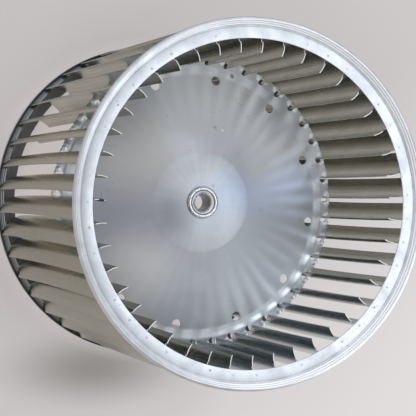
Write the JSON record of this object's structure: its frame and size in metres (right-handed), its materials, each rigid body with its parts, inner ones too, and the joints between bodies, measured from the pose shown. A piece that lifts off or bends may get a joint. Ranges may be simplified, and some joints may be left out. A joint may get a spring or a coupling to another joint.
{
  "type": "blower wheel",
  "caption": "Double-inlet centrifugal blower wheel: forward-curved blades between two rolled end rings, staked into a dished centre disc with a bored steel hub and set screw.",
  "frame": {"origin": "centre of the circle that the rear rim crest stands on", "axes": "+Z along the wheel's axis, from the rear ring to the front ring; +X through the inner edge of the first blade"},
  "size_m": [0.27, 0.27, 0.27],
  "materials": {
    "galvanised_sheet": "satin",
    "plated_steel": "satin",
    "black_steel": "satin"
  },
  "bodies": {
    "root": {"front_ring": "galvanised_sheet", "rear_ring": "galvanised_sheet", "centre_disc": "galvanised_sheet", "hub": "plated_steel", "set_screw": "black_steel", "balance_clip": "black_steel", "blade_01": "galvanised_sheet", "blade_02": "galvanised_sheet", "blade_03": "galvanised_sheet", "blade_04": "galvanised_sheet", "blade_05": "galvanised_sheet", "blade_06": "galvanised_sheet", "blade_07": "galvanised_sheet", "blade_08": "galvanised_sheet", "blade_09": "galvanised_sheet", "blade_10": "galvanised_sheet", "blade_11": "galvanised_sheet", "blade_12": "galvanised_sheet", "blade_13": "galvanised_sheet", "blade_14": "galvanised_sheet", "blade_15": "galvanised_sheet", "blade_16": "galvanised_sheet", "blade_17": "galvanised_sheet", "blade_18": "galvanised_sheet", "blade_19": "galvanised_sheet", "blade_20": "galvanised_sheet", "blade_21": "galvanised_sheet", "blade_22": "galvanised_sheet", "blade_23": "galvanised_sheet", "blade_24": "galvanised_sheet", "blade_25": "galvanised_sheet", "blade_26": "galvanised_sheet", "blade_27": "galvanised_sheet", "blade_28": "galvanised_sheet", "blade_29": "galvanised_sheet", "blade_30": "galvanised_sheet", "blade_31": "galvanised_sheet", "blade_32": "galvanised_sheet", "blade_33": "galvanised_sheet", "blade_34": "galvanised_sheet", "blade_35": "galvanised_sheet", "blade_36": "galvanised_sheet", "blade_37": "galvanised_sheet", "blade_38": "galvanised_sheet", "blade_39": "galvanised_sheet", "blade_40": "galvanised_sheet", "blade_41": "galvanised_sheet", "blade_42": "galvanised_sheet", "blade_43": "galvanised_sheet"}
  },
  "joints": []
}
